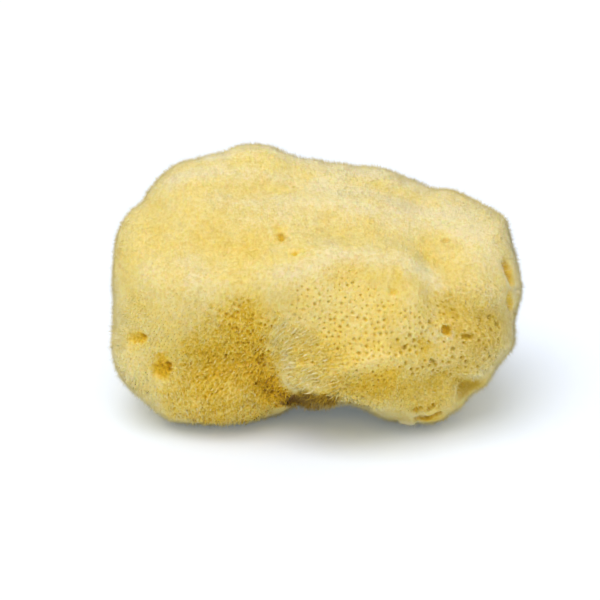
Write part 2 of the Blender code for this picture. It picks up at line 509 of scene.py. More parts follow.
def bell(away: Array, steepness: float = 1.0) -> Array:
    """A soft hill of height 1 over a distance of 0."""
    return np.exp(-(away**2) * steepness)


def unit(rows: Array) -> Array:
    """The rows as directions of length 1."""
    return rows / np.maximum(np.linalg.norm(rows, axis=-1, keepdims=True), 1e-12)


def wander(points: Array, size: float, seed: int) -> Array:
    """Soft random values, from about -1 to 1.

    Args:
        points: Places, one a row.
        size: The distance over which the values change.
        seed: Which pattern to read.

    Returns:
        One value for each place.
    """
    shift = Vector((seed * 7.3, seed * 3.1, seed * 5.7))
    scale = 1.0 / (size * MM)
    return np.array([noise.noise(Vector(point) * scale + shift) for point in points])


def layered(points: Array, layers: Iterable[Layer], middle: float = 0.0) -> Array:
    """Several layers of soft random values, laid over each other about a middle value."""
    return sum((strength * wander(points, size, seed) for strength, size, seed in layers), middle)


def swirled(points: Array, size: float, seed: int) -> Array:
    """A soft random direction at each place, which changes over a distance in millimetres."""
    return np.stack([wander(points, size, seed + axis) for axis in range(3)], axis=1)


def distance_to_path(points: Array, path: Sequence[Vector]) -> Array:
    """The distance from each point to the nearest stretch of a path.

    Args:
        points: Places, one a row.
        path: The path's own points.

    Returns:
        One distance for each place, in metres.
    """
    nearest = np.linalg.norm(points - np.array(path[0]), axis=1)
    for start, end in zip(path, path[1:]):
        first = np.array(start)
        along = np.array(end) - first
        share = np.clip((points - first) @ along / (along @ along), 0.0, 1.0)
        nearest = np.minimum(nearest, np.linalg.norm(points - first - share[:, None] * along, axis=1))
    return nearest


def tree_of(points: Sequence[Sequence[float]]) -> KDTree:
    """A tree that finds which of the points are near a place.

    Args:
        points: The points.

    Returns:
        The tree, which numbers them in their order.
    """
    tree = KDTree(len(points))
    for number, point in enumerate(points):
        tree.insert(point, number)
    tree.balance()
    return tree


def add_object(name: str, data: bpy.types.ID) -> Object:
    """Puts a mesh, a light or a camera into the scene.

    Args:
        name: The object's name.
        data: What it shows.

    Returns:
        The object.
    """
    thing = bpy.data.objects.new(name, data)
    bpy.context.scene.collection.objects.link(thing)
    return thing


def add_mesh(name: str, mesh: Mesh) -> Object:
    """Puts a finished bmesh into the scene.

    Args:
        name: The object's name.
        mesh: Its mesh, which is used up.

    Returns:
        The object.
    """
    data = bpy.data.meshes.new(name)
    mesh.to_mesh(data)
    mesh.free()
    return add_object(name, data)


@dataclass(frozen=True)
class Finder:
    """Finds where spots lie on a surface.

    Attributes:
        view: The photograph's view, which turns pixels into places.
        tree: The surface, to cast rays at.
    """

    view: PhotoView
    tree: BVHTree

    def locate(self, spots: Iterable[Spot]) -> list[Vector]:
        """Finds the place on the surface of every spot.

        Args:
            spots: The spots.

        Returns:
            Their places.
        """
        places = []
        for spot in spots:
            if len(spot) == 2:
                place = self.tree.ray_cast(self.view.place, self.view.ray(*spot))[0]
                place = place or self.tree.find_nearest(self.near(spot))[0]
            else:
                place = self.tree.find_nearest(Vector(spot) * MM)[0]
            places.append(place)
        return places

    def near(self, spot: Spot) -> Vector:
        """The point in the sponge's middle plane that a pixel just outside its outline shows."""
        ray = self.view.ray(*spot)
        return self.view.place + ray * (self.view.place.y / -ray.y)

    def away(self, points: Array, mark: Mark) -> Array:
        """The distance from each point to a mark's path, in metres."""
        return distance_to_path(points, self.locate(mark.path))


@dataclass
class Surface:
    """A closed mesh of triangles as arrays, for work on all its points at once.

    Attributes:
        points: The places of the corners, one a row.
        triangles: The three corners of every triangle.
    """

    points: Array
    triangles: Array

    @classmethod
    def of(cls, mesh: Mesh) -> "Surface":
        """Reads a bmesh of triangles.

        Args:
            mesh: The bmesh.

        Returns:
            Its points and triangles.
        """
        mesh.verts.index_update()
        points = np.array([vertex.co for vertex in mesh.verts])
        triangles = np.array([[vertex.index for vertex in face.verts] for face in mesh.faces])
        return cls(points, triangles)

    def flat(self) -> Array:
        """The outward direction of every triangle, twice its area long."""
        corners = self.points[self.triangles]
        return np.cross(corners[:, 1] - corners[:, 0], corners[:, 2] - corners[:, 0])

    def normals(self) -> Array:
        """The outward direction at every corner.

        Returns:
            One direction of length 1 for each corner.
        """
        total = np.zeros_like(self.points)
        flat = self.flat()
        for corner in range(3):
            np.add.at(total, self.triangles[:, corner], flat)
        return unit(total)

    def pairs(self) -> Array:
        """The numbers of every two neighbouring corners, one pair a row."""
        return np.concatenate([self.triangles[:, pair] for pair in ([0, 1], [1, 2], [2, 0])])

    def closed(self, values: Array, rounds: int) -> Array:
        """Values whose narrow lows are filled up to what lies round them.

        Args:
            values: One value for each corner.
            rounds: Half the width of the lows that are filled, in triangles.

        Returns:
            The filled values.
        """
        first, second = self.pairs().T
        for best in (np.maximum, np.minimum):
            for _ in range(rounds):
                spread = values.copy()
                best.at(spread, first, values[second])
                values = spread
        return values

    def relaxed(self, values: Array, rounds: int) -> Array:
        """Values or places drawn half way to the mean of their neighbours, time after time.

        Args:
            values: One row for each corner.
            rounds: How often.

        Returns:
            The smoothed values.
        """
        pairs = self.pairs()
        size = len(self.points)
        count = np.bincount(pairs[:, 0], minlength=size)
        rows = values.reshape(size, -1).copy()
        for _ in range(rounds):
            for column in range(rows.shape[1]):
                total = np.bincount(pairs[:, 0], weights=rows[pairs[:, 1], column], minlength=size)
                rows[:, column] += 0.5 * (total / count - rows[:, column])
        return rows.reshape(values.shape)

    def settle(self) -> None:
        """Lifts what is below the floor onto it."""
        self.points[:, 2] = np.maximum(self.points[:, 2], 0.0)

    def rise(self, height: Array) -> None:
        """Moves the corners outwards by a height in millimetres, but not where they rest on the floor.

        Args:
            height: How far each corner moves.
        """
        free = smooth_step(self.points[:, 2] / (REST_HEIGHT * MM))
        self.points += self.normals() * (height * free * MM)[:, None]
        self.settle()


@dataclass
class Ground:
    """What is known of the skin at each of its corners, to grow fibres and pores on.

    Attributes:
        surface: The skin, whose corners move as it takes shape.
        flat: Where its corners were before that, one a row.
        kinds: How much of every kind of surface there is.
        comb: The way that the fibres are combed, along the skin.
        tufts: The places of the tufts of fibre, one a row.
        tuft_pitch: The distance between them.
        tone: The skin's colour, from 0 for brown to 1 for cream.
        painted_shade: How much painted shade darkens the skin.
        open: How far each corner lies in a pore or outlet.
    """

    surface: Surface
    flat: Array
    kinds: dict[Kind, Array]
    comb: Array
    tufts: Array
    tuft_pitch: float
    tone: Array
    painted_shade: Array
    open: Array

    def mixed(self, name: str) -> Array:
        """One value of the growth at every corner, mixed from the kinds that meet there.

        Args:
            name: The growth's field.

        Returns:
            The values.
        """
        total = np.full(len(self.surface.points), float(getattr(VELVET, name)))
        for kind, growth in GROWTHS.items():
            total += self.kinds[kind] * (getattr(growth, name) - getattr(VELVET, name))
        return total

    def nearest_tufts(self, points: Array, comb: Array) -> tuple[Array, Array]:
        """Finds the tuft that each point belongs to, where tufts are longer along the comb than across it.

        Args:
            points: Places, one a row.
            comb: The way of the comb at each.

        Returns:
            The number of each point's tuft, and its distance across from 0 in the middle to 1 at the edge.
        """
        tree = tree_of(self.tufts)
        near = np.array([[found[1] for found in tree.find_n(point, 3)] for point in points])
        offset = points[:, None] - self.tufts[near]
        along = np.einsum("ijk,ik->ij", offset, comb)
        across = np.sqrt(np.maximum(np.sum(offset**2, axis=2) - TUFT_STRETCH * along**2, 0.0))
        best = np.argmin(across, axis=1)
        rows = np.arange(len(points))
        return near[rows, best], np.clip(across[rows, best] / (0.5 * self.tuft_pitch * MM), 0.0, 1.0)


@dataclass
class Skin:
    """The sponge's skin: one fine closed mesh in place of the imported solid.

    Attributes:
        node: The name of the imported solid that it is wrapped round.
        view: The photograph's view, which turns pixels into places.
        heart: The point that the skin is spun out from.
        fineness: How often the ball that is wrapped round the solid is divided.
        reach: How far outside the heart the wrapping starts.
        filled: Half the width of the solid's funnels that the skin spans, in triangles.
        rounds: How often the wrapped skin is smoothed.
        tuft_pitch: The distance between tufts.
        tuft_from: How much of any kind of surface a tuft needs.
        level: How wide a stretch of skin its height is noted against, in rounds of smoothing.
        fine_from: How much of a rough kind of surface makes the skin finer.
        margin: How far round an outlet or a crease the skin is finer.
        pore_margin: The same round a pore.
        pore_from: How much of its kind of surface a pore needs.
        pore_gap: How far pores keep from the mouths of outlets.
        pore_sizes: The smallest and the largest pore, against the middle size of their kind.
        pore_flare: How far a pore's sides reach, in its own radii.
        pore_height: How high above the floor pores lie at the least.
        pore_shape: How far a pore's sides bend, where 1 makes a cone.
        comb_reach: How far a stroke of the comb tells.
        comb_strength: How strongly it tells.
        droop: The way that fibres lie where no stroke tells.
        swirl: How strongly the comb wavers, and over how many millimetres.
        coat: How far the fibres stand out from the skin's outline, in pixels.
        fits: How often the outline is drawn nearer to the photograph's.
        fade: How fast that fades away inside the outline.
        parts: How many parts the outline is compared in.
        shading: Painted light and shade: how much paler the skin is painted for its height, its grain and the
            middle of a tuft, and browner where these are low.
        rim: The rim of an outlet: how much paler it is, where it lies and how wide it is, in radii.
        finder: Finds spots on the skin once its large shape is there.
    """

    node: str
    view: PhotoView
    heart: Triple = (0.0, 0.0, 30.0)
    fineness: int = 7
    reach: float = 90.0
    filled: int = 4
    rounds: int = 20
    tuft_pitch: float = 0.80
    tuft_from: float = 0.02
    level: int = 60
    fine_from: float = 0.3
    margin: float = 1.0
    pore_margin: float = 0.5
    pore_from: float = 0.35
    pore_gap: float = 0.2
    pore_sizes: Pair = (0.40, 1.60)
    pore_flare: float = 1.6
    pore_height: float = 0.8
    pore_shape: float = 0.9
    comb_reach: float = 8.0
    comb_strength: float = 3.0
    droop: Triple = (-0.35, -0.1, -0.6)
    swirl: Pair = (0.5, 9.0)
    coat: float = 1.6
    fits: int = 4
    fade: int = 5
    parts: int = 360
    shading: Triple = (0.10, 0.25, 0.4)
    rim: Triple = (0.15, 1.2, 0.3)
    finder: Finder | None = None

    def wrapped(self) -> Mesh:
        """A finely divided ball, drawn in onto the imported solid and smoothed.

        Returns:
            The skin's mesh.
        """
        solid = bmesh.new()
        solid.from_mesh(frame["nodes"][self.node].data)
        tree = BVHTree.FromBMesh(solid)
        solid.free()
        mesh = bmesh.new()
        bmesh.ops.create_icosphere(mesh, subdivisions=self.fineness, radius=1.0)
        heart = Vector(self.heart) * MM
        surface = Surface.of(mesh)
        rays = [vertex.co.normalized() for vertex in mesh.verts]
        hits = [tree.ray_cast(heart + ray * self.reach * MM, -ray)[0] for ray in rays]
        far = surface.closed(np.array([(hit - heart).length for hit in hits]), self.filled)
        surface.points = np.array(heart) + np.array(rays) * far[:, None]
        surface.points = surface.relaxed(surface.points, self.rounds)
        surface.settle()
        self.place(mesh, surface.points)
        return mesh

    @staticmethod
    def place(mesh: Mesh, points: Array) -> None:
        """Moves the corners of a mesh to new places."""
        for vertex, point in zip(mesh.verts, points):
            vertex.co = point

    @staticmethod
    def note(mesh: Mesh, name: str, values: Array) -> None:
        """Writes one value to every corner of a mesh.

        Args:
            mesh: The skin.
            name: The name of the layer that holds them.
            values: The values.
        """
        layer = mesh.verts.layers.float.new(name)
        for vertex, value in zip(mesh.verts, values):
            vertex[layer] = value

    def swell(self, mesh: Mesh) -> None:
        """Raises the large swells of the skin, and notes their height at its corners.

        Args:
            mesh: The skin.
        """
        surface = Surface.of(mesh)
        finder = Finder(self.view, BVHTree.FromBMesh(mesh))
        height = layered(surface.points, SKIN_WAVES)
        for swell in SWELLS:
            away = finder.away(surface.points, swell) / (swell.radius * MM)
            height += swell.height * bell(away, SWELL_STEEPNESS)
        surface.rise(height)
        self.place(mesh, surface.points)
        self.note(mesh, "height", height - surface.relaxed(height, self.level))

    def fit(self, mesh: Mesh) -> None:
        """Draws the skin out or in across the view, until its outline is the photograph's.

        Args:
            mesh: The skin.
        """
        middle = np.array(self.view.over_pixel)
        turn = np.array(self.view.turn)
        wanted = np.array(OUTLINE) - middle
        wanted_way = np.arctan2(wanted[:, 1], wanted[:, 0])
        wanted_reach = np.linalg.norm(wanted, axis=1) - self.coat
        surface = Surface.of(mesh)
        for _ in range(self.fits):
            offset = self.view.pixels(surface.points) - middle
            way = np.arctan2(offset[:, 1], offset[:, 0])
            away = np.linalg.norm(offset, axis=1)
            part = ((way / (2 * math.pi) + 0.5) * self.parts).astype(int) % self.parts
            reach = np.zeros(self.parts)
            np.maximum.at(reach, part, away)
            reach = (np.roll(reach, 1) + 2 * reach + np.roll(reach, -1)) / 4
            ways = ((np.arange(self.parts) + 0.5) / self.parts - 0.5) * 2 * math.pi
            here = np.interp(way, ways, reach, period=2 * math.pi)
            there = np.interp(way, wanted_way, wanted_reach, period=2 * math.pi)
            push = (there - here) * np.minimum(away / here, 1.0) ** self.fade * self.view.pixel
            outward = offset / np.maximum(away, 1.0)[:, None]
            across = outward[:, :1] * turn[:, 0] - outward[:, 1:] * turn[:, 1]
            surface.points += surface.relaxed(across * push[:, None], 2)
            surface.settle()
        self.place(mesh, surface.points)

    def kinds_at(self, points: Array) -> dict[Kind, Array]:
        """How much of every kind of surface there is at each point, from 0 to 1.

        Args:
            points: The points, one a row.

        Returns:
            The shares by kind.
        """
        ragged = layered(points, PATCH_EDGES, 1.0)
        free = np.ones(len(points))
        found = {}
        for kind in Kind:
            most = np.zeros(len(points))
            patches = PATCHES[kind]
            for patch, place in zip(patches, self.finder.locate(patch.spot for patch in patches)):
                away = np.linalg.norm(points - np.array(place), axis=1) / (patch.radius * MM)
                most = np.maximum(most, within(away * ragged, patch.soft) * patch.full)
            found[kind] = np.minimum(most, free)
            free -= found[kind]
        return found

    @staticmethod
    def refine(mesh: Mesh, wanted: Array) -> None:
        """Divides the skin once more where that is wanted.

        Args:
            mesh: The skin.
            wanted: Whether each of its corners wants smaller triangles.
        """
        mesh.verts.index_update()
        chosen = [edge for edge in mesh.edges if all(wanted[vertex.index] for vertex in edge.verts)]
        bmesh.ops.subdivide_edges(mesh, edges=chosen, cuts=1)
        bmesh.ops.triangulate(mesh, faces=mesh.faces[:])

    def rough(self, points: Array) -> Array:
        """Whether each point lies where the skin has pores, tufts or outlets.

        Args:
            points: The points, one a row.

        Returns:
            One answer for each point.
        """
        kinds = self.kinds_at(points)
        found = sum(kinds[kind] for kind in Kind if kind is not Kind.MAT) > self.fine_from
        for mark in (*OUTLETS, *CREASES):
            found |= self.finder.away(points, mark) < (mark.radius + self.margin) * MM
        return found

    def scatter_pores(self, points: Array) -> list[Pore]:
        """Chooses the places and sizes of the open pores.

        Args:
            points: The places that they may have, one a row.

        Returns:
            The pores.
        """
        dice = np.random.default_rng(SEED + 1)
        found = self.kinds_at(points)
        weights = np.stack([found[kind] for kind in PITS])
        best = np.argmax(weights, axis=0)
        strongest = weights.max(axis=0)
        free = (strongest > self.pore_from) & (points[:, 2] > self.pore_height * MM)
        for outlet in OUTLETS:
            free &= self.finder.away(points, outlet) > (outlet.radius + self.pore_gap) * MM
        pitch = np.array([pits.pitch for pits in PITS.values()])[best] * MM
        pitch *= 1.0 + 0.9 * np.clip(0.75 - strongest, 0.0, 1.0) + layered(points, PORE_CROWDS)
        pores = []
        for index in self.scattered(points, np.where(free, pitch, 0.0), SEED + 2):
            pits = list(PITS.values())[best[index]]
            size = dice.uniform(*self.pore_sizes) * min(1.0, 0.3 + strongest[index] * 0.8)
            share = min(1.0, strongest[index] * 1.5)
            radius, depth = pits.radius * size * MM, pits.depth * size * MM
            pores.append(Pore(Vector(points[index]), radius, depth, pits.tone * share, pits.painted_shade * share))
        return pores

    def combed(self, surface: Surface) -> Array:
        """The way that the fibres are combed at every corner of the skin.

        Args:
            surface: The skin.

        Returns:
            One direction for each corner.
        """
        points = surface.points
        strength, size = self.swirl
        way = np.array(self.droop) + strength * swirled(points, size, 40)
        for stroke in STROKES:
            start, end = (np.array(place) for place in self.finder.locate(stroke))
            away = distance_to_path(points, (start, end)) / (self.comb_reach * MM)
            way += bell(away)[:, None] * self.comb_strength * (end - start) / np.linalg.norm(end - start)
        normals = surface.normals()
        return unit(way - np.sum(way * normals, axis=1)[:, None] * normals)

    @staticmethod
    def scattered(points: Array, gap: Array, seed: int) -> Array:
        """Chooses points at random that keep their distance.

        Args:
            points: Places, one a row.
            gap: The distance that each has to keep, in metres, or 0 to leave it out.
            seed: Which choice to make.

        Returns:
            The numbers of the chosen points.
        """
        cells: dict[tuple[int, ...], list[int]] = {}
        homes = np.floor(points / float(gap.max())).astype(int)
        chosen = []
        steps = np.array(list(np.ndindex(3, 3, 3))) - 1
        for index in np.random.default_rng(seed).permutation(np.flatnonzero(gap > 0)):
            home = homes[index]
            near = [other for place in map(tuple, (home + steps).tolist()) for other in cells.get(place, ())]
            if near:
                offset = points[near] - points[index]
                if np.min(np.einsum("ij,ij->i", offset, offset)) < gap[index] ** 2:
                    continue
            cells.setdefault(tuple(home.tolist()), []).append(int(index))
            chosen.append(int(index))
        return np.array(chosen)

    def roughen(self, ground: Ground, height: Array) -> None:
        """Raises the creases, the tufts and the fine unevenness of the skin, and tones it by them.

        Args:
            ground: The skin.
            height: How high the large swells raised it.
        """
        points = ground.surface.points.copy()
        rough = ground.kinds[Kind.FLEECE] + ground.kinds[Kind.FUR] + ground.kinds[Kind.CLOSE]
        fine = sum((calm + more * rough) * wander(points, *layer) for calm, more, *layer in SKIN_GRAIN)
        share = 1.0 - ground.nearest_tufts(points, ground.comb)[1] ** 2
        fine += ground.mixed("mound") * (share - 0.5) * 2.0
        for crease in CREASES:
            away = self.finder.away(points, crease) / (crease.radius * MM)
            fine += crease.height * bell(away, SWELL_STEEPNESS)
        ground.surface.rise(fine)
        # Painted light and shade: paler where the skin stands high, browner where it lies low, and darker
        # between the tufts.
        by_height, by_grain, by_tuft = self.shading
        ground.tone += by_height * height + by_grain * fine + by_tuft * ground.mixed("vary") * (share - 0.5)
        ground.painted_shade += ground.mixed("gap_shade") * (1.0 - share)
        ground.tone += layered(points, TONE_CLOUDS)
        ragged = layered(points, STAIN_EDGES, 1.0)
        for stain in STAINS:
            shade = bell(self.finder.away(points, stain) / (stain.radius * MM) * ragged)
            ground.tone += stain.tone * shade
            ground.painted_shade += stain.painted_shade * shade

    def sink_outlets(self, ground: Ground) -> None:
        """Sinks the water outlets into the skin, each with a paler rim.

        Args:
            ground: The skin, whose own places and tones are changed.
        """
        surface = ground.surface
        normals = surface.relaxed(surface.normals(), 6)
        ragged = layered(surface.points, OUTLET_EDGES, 1.0)
        paler, place, width = self.rim
        for outlet in OUTLETS:
            away = self.finder.away(ground.flat, outlet) / (outlet.radius * MM) * ragged
            axis = unit(normals[away < 1.0].sum(axis=0))
            inside = within(away, outlet.soft)
            rim = max(0.0, 1.0 - outlet.soft) * bell((away - place - outlet.soft / 2) / width)
            surface.points -= axis * (inside * outlet.depth * MM)[:, None]
            # Painted shade: inside each outlet the skin is painted browner and darker.
            ground.tone += paler * rim - inside * outlet.tone
            ground.painted_shade += inside * outlet.painted_shade
            ground.open = np.maximum(ground.open, inside)

    def sink_pores(self, ground: Ground, pores: Sequence[Pore]) -> None:
        """Sinks the open pores into the skin.

        Args:
            ground: The skin, whose own places and tones are changed.
            pores: The pores, at places on the skin before it swelled.
        """
        surface = ground.surface
        normals = surface.relaxed(surface.normals(), 3)
        tree = tree_of(ground.flat)
        sunk, push, brown, deep_shade = np.zeros((4, len(surface.points)))
        for pore in pores:
            mouth = pore.radius * self.pore_flare
            for _, number, away in tree.find_range(pore.place, mouth):
                share = max(0.0, 1.0 - away / mouth) ** self.pore_shape
                if share > sunk[number]:
                    sunk[number] = share
                    push[number] = share * pore.depth
                    brown[number] = share * pore.tone
                    deep_shade[number] = share * pore.painted_shade
        surface.points -= normals * push[:, None]
        # Painted shade: inside each pore the skin is painted browner and darker.
        ground.tone -= brown
        ground.painted_shade += deep_shade
        ground.open = np.maximum(ground.open, sunk)
        log.info("skin: %d pores", len(pores))

    def build(self) -> tuple[Object, Ground]:
        """Builds the whole skin.

        Returns:
            The skin's object, and what is known at each of its corners.
        """
        mesh = self.wrapped()
        self.swell(mesh)
        self.fit(mesh)
        self.finder = Finder(self.view, BVHTree.FromBMesh(mesh))
        self.refine(mesh, self.rough(Surface.of(mesh).points))
        points = Surface.of(mesh).points
        pores = self.scatter_pores(points)
        tree = tree_of([pore.place for pore in pores])
        self.refine(mesh, np.array([tree.find(point)[2] for point in points]) < self.pore_margin * MM)
        surface = Surface.of(mesh)
        flat = surface.points.copy()
        surface.points = surface.relaxed(surface.points, 5)
        points = surface.points
        kinds = self.kinds_at(points)
        gap = np.where(sum(kinds.values()) > self.tuft_from, self.tuft_pitch * MM, 0.0)
        tufts = points[self.scattered(points, gap, SEED + 3)]
        blank = np.zeros((3, len(points)))
        ground = Ground(surface, flat, kinds, self.combed(surface), tufts, self.tuft_pitch, *blank)
        ground.tone = ground.mixed("tone")
        height = mesh.verts.layers.float["height"]
        self.roughen(ground, np.array([vertex[height] for vertex in mesh.verts]))
        self.sink_outlets(ground)
        self.sink_pores(ground, pores)
        self.place(mesh, surface.points)
        mesh.verts.layers.float.remove(height)
        for name, values in (("tone", ground.tone), ("painted_shade", ground.painted_shade), ("grain", ground.mixed("grain"))):
            self.note(mesh, name, values)
        bmesh.ops.recalc_face_normals(mesh, faces=mesh.faces[:])
        piece = add_mesh("skin", mesh)
        piece.data.shade_smooth()
        log.info("skin: %d triangles, %d tufts", len(piece.data.polygons), len(tufts))
        return piece, ground


def ring(middle: Array, side: Array, other: Array, reach: Array) -> list[Array]:
    """Three corners round every spike.

    Args:
        middle: The place that they lie round.
        side: The direction from there to the first of them.
        other: The direction square to that and to the spike.
        reach: How far off they lie, in metres.

    Returns:
        The places of the first corners, the second and the third.
    """
    angles = [turn * 2 * math.pi / 3 for turn in range(3)]
    return [middle + (side * math.cos(angle) + other * math.sin(angle)) * reach[:, None] for angle in angles]


@dataclass(frozen=True)
class Spikes:
    """Some spikes, as arrays with one row for each.

    Attributes:
        corners: The places of every spike's corners, with its tip last.
        tones: The tone at each of them.
        painted_shade: How much painted shade darkens each of them.
        facing: The direction that each of them is shaded by.
    """

    corners: Array
    tones: Array
    painted_shade: Array
    facing: Array

    def only(self, chosen: Array) -> "Spikes":
        """Some of the spikes, by a mask or by their numbers."""
        return Spikes(self.corners[chosen], self.tones[chosen], self.painted_shade[chosen], self.facing[chosen])

    def piece(self, name: str, shape: Faces) -> Object:
        """Makes one mesh of the spikes.

        Args:
            name: The piece's name.
            shape: The faces of one spike, as numbers of its corners.

        Returns:
            The piece, whose UV map holds the tone and the painted shade.
        """
        count, size = self.tones.shape
        faces = np.array(shape)
        corners = (np.arange(count)[:, None, None] * size + faces[None]).reshape(-1)
        data = bpy.data.meshes.new(name)
        data.vertices.add(count * size)
        data.vertices.foreach_set("co", self.corners.reshape(-1).astype(np.float32))
        data.loops.add(len(corners))
        data.loops.foreach_set("vertex_index", corners.astype(np.int32))
        data.polygons.add(count * len(faces))
        data.polygons.foreach_set("loop_start", np.arange(0, len(corners), 3, dtype=np.int32))
        data.update(calc_edges=True)
        data.shade_smooth()
        data.normals_split_custom_set_from_vertices(self.facing.reshape(-1, 3))
        places = [
            np.clip(values, UV_LOW, UV_HIGH)[:, faces.reshape(-1)] + np.array(shift * len(faces))
            for values, shift in ((self.tones, UV_ACROSS), (self.painted_shade, UV_ALONG))
        ]
        layer = data.uv_layers.new(name="OFBake")
        layer.data.foreach_set("uv", np.stack(places, axis=2).reshape(-1).astype(np.float32))
        log.info("%s: %d triangles", name, len(data.polygons))
        return add_object(name, data)


@dataclass(frozen=True)
class Coat:
    """The fibres that cover the skin, as a few meshes of small closed spikes.

    Attributes:
        ground: What is known of the skin.
        pieces: How many meshes the single fibres are dealt out to.
        most: The most fibres that one mesh may hold.
        spare: How many roots are scattered for every fibre that may be kept.
        roundness: How far the shading of fibres is turned to their own sides.
        lock_roundness: The same for locks.
        finest: How wide locks have to be to grow at all.
        lowest: How high above the floor tips stay.
        low: How high above the floor the roots of fibres have to be.
        lock_low: The same for locks.
        sunk: How deep the roots of fibres go into the skin.
        lock_sunk: The same for locks.
        thinned: How strongly pores thin the coat out, and the least share of it that is left.
        stray: How strongly each fibre leans by itself.
        swirl: How strongly neighbouring fibres lean together, and over how many millimetres.
        low_lean: How flat fibres may lie, and how far flatter ones are raised.
        uneven: How fibre lengths vary: the middle and the spread of their logarithms, and the greatest.
        lock_uneven: The same for locks.
        lock_wide: The same for the widths of locks.
        drawn: How high up the tips of a tuft meet, against their length, and how far apart they stay.
        stout: The least and the greatest stoutness, and how strongly it tells on a fibre's width.
        shades: How strongly a fibre's stoutness and its tuft tell on its tone.
        edges: How much less pale roots and tips are at the edge of a tuft, as shares of their run.
        bare: How strongly the coat thins out at the edge of a tuft.
        bends: How far a lock leans along the comb, and how long its two halves are, as shares of the whole.
        strays: How strongly a lock's two halves lean by themselves.
        rings: Half the width of a lock at its root and at its bend, as shares of its width.
        runs: How much paler a lock is at its root, its bend and its tip, as shares of its run.
        dice: The source of chance.
    """

    ground: Ground
    pieces: int = 4
    most: int = 48000
    spare: float = 1.08
    roundness: float = 0.45
    lock_roundness: float = 1.3
    finest: float = 0.08
    lowest: float = 0.05
    low: float = 0.4
    lock_low: float = 0.5
    sunk: float = 0.06
    lock_sunk: float = 0.1
    thinned: Pair = (1.2, 0.05)
    stray: float = 0.5
    swirl: Pair = (1.2, 1.6)
    low_lean: Pair = (0.15, 0.4)
    uneven: Triple = (-0.08, 0.50, 2.6)
    lock_uneven: Triple = (0.1, 0.3, 2.0)
    lock_wide: Triple = (0.0, 0.25, 1.6)
    drawn: Pair = (1.1, 0.12)
    stout: Triple = (-2.0, 2.2, 3.5)
    shades: Pair = (0.7, 0.6)
    edges: Pair = (0.4, 0.35)
    bare: float = 1.3
    bends: Triple = (0.7, 0.6, 0.7)
    strays: Pair = (0.9, 1.1)
    rings: Pair = (0.5, 0.42)
    runs: Triple = (-0.2, 0.5, 0.9)
    dice: np.random.Generator = field(default_factory=lambda: np.random.default_rng(SEED + 4))

    def roots(self) -> tuple[Array, Array]:
        """Scatters roots over the skin.

        Returns:
            The triangle of every root, and its three shares of that triangle's corners.
        """
        surface = self.ground.surface
        area = np.linalg.norm(surface.flat(), axis=1) / 2 / MM**2
        fewer, least = self.thinned
        density = self.ground.mixed("density") * np.clip(1.0 - fewer * self.ground.open, least, 1.0)
        wanted = area * density[surface.triangles].mean(axis=1)
        total = min(int(wanted.sum()), int(self.pieces * self.most * self.spare))
        log.info("coat: %d fibres wanted, %d grown", wanted.sum(), total)
        triangle = self.dice.choice(len(area), size=total, p=wanted / wanted.sum())
        first, second = np.sqrt(self.dice.random(total)), self.dice.random(total)
        return triangle, np.stack([1 - first, first * (1 - second), first * second], axis=1)

    def feet(self) -> tuple[Array, Array]:
        """The number and the place of the finished skin's corner nearest to each tuft.

        Returns:
            The numbers, and the places.
        """
        tree = tree_of(self.ground.surface.points)
        found = [tree.find(tuft) for tuft in self.ground.tufts]
        return np.array([corner for _, corner, _ in found]), np.array([place for place, _, _ in found])

    def sizes(self, mean: Array, middle: float, spread: float, most: float) -> Array:
        """Sizes in metres that vary at random about their means, up to so many times the mean."""
        return mean * np.minimum(self.dice.lognormal(middle, spread, len(mean)), most) * MM

    def lifted(self, tip: Array) -> Array:
        """Tips kept above the floor."""
        tip[:, 2] = np.maximum(tip[:, 2], self.lowest * MM)
        return tip

    @staticmethod
    def facing(spikes: Array, normal: Array, roundness: float) -> Array:
        """The directions that corners are shaded by: the skin's own, turned a little outwards.

        Args:
            spikes: The corners of every spike, with its tip last.
            normal: The skin's outward direction at each.
            roundness: How far they are turned.

        Returns:
            One direction for every corner.
        """
        own = spikes - spikes.mean(axis=1)[:, None]
        own[:, -1] = 0.0
        return unit(normal[:, None] + roundness * unit(own))

    def fibres(self) -> Spikes:
        """Grows the single fibres.

        Returns:
            The fibres.
        """
        triangle, shares = self.roots()
        ground, surface = self.ground, self.ground.surface
        corner = surface.triangles[triangle]

        def here(values: Array) -> Array:
            """A value at every root, from the values at the skin's corners."""
            return np.einsum("ij,ij...->i...", shares, values[corner])

        names = ("length", "width", "spread", "lean", "gather", "vary", "run", "gap_shade")
        long, wide, spread, lean, gather, vary, run, gap_shade = (here(ground.mixed(name)) for name in names)
        root = here(surface.points)
        normal = here(surface.relaxed(surface.normals(), 2))
        comb = here(ground.comb)
        tone, skin_shade = here(ground.tone), here(ground.painted_shade)
        count = len(root)
        tuft, edge = ground.nearest_tufts(root, comb)
        chance = self.dice.normal(size=(count, 3))
        strength, size = self.swirl
        stray = self.stray * chance + strength * here(swirled(surface.points, size, 20))
        combed = normal + comb * lean[:, None]
        way = combed + stray * spread[:, None]
        flattest, raised = self.low_lean
        flat = np.sum(way * normal, axis=1) < flattest
        way[flat] += normal[flat] * raised
        tip = root + unit(way) * self.sizes(long, *self.uneven)[:, None]
        high, apart = self.drawn
        top = self.feet()[1][tuft] + unit(combed) * (long * high * MM)[:, None] + apart * MM * chance
        tip = self.lifted(tip + (top - tip) * gather[:, None])
        thinnest, stoutest, telling = self.stout
        stout = np.clip(self.dice.normal(size=count), thinnest, stoutest)
        width = wide * np.exp(telling * vary * stout) * MM
        shade = self.dice.normal(size=len(ground.tufts))[tuft]
        tone += vary * (self.shades[0] * stout + self.shades[1] * shade)
        foot, head = tone - self.edges[0] * run * edge, tone + run * (1.0 - self.edges[1] * edge)
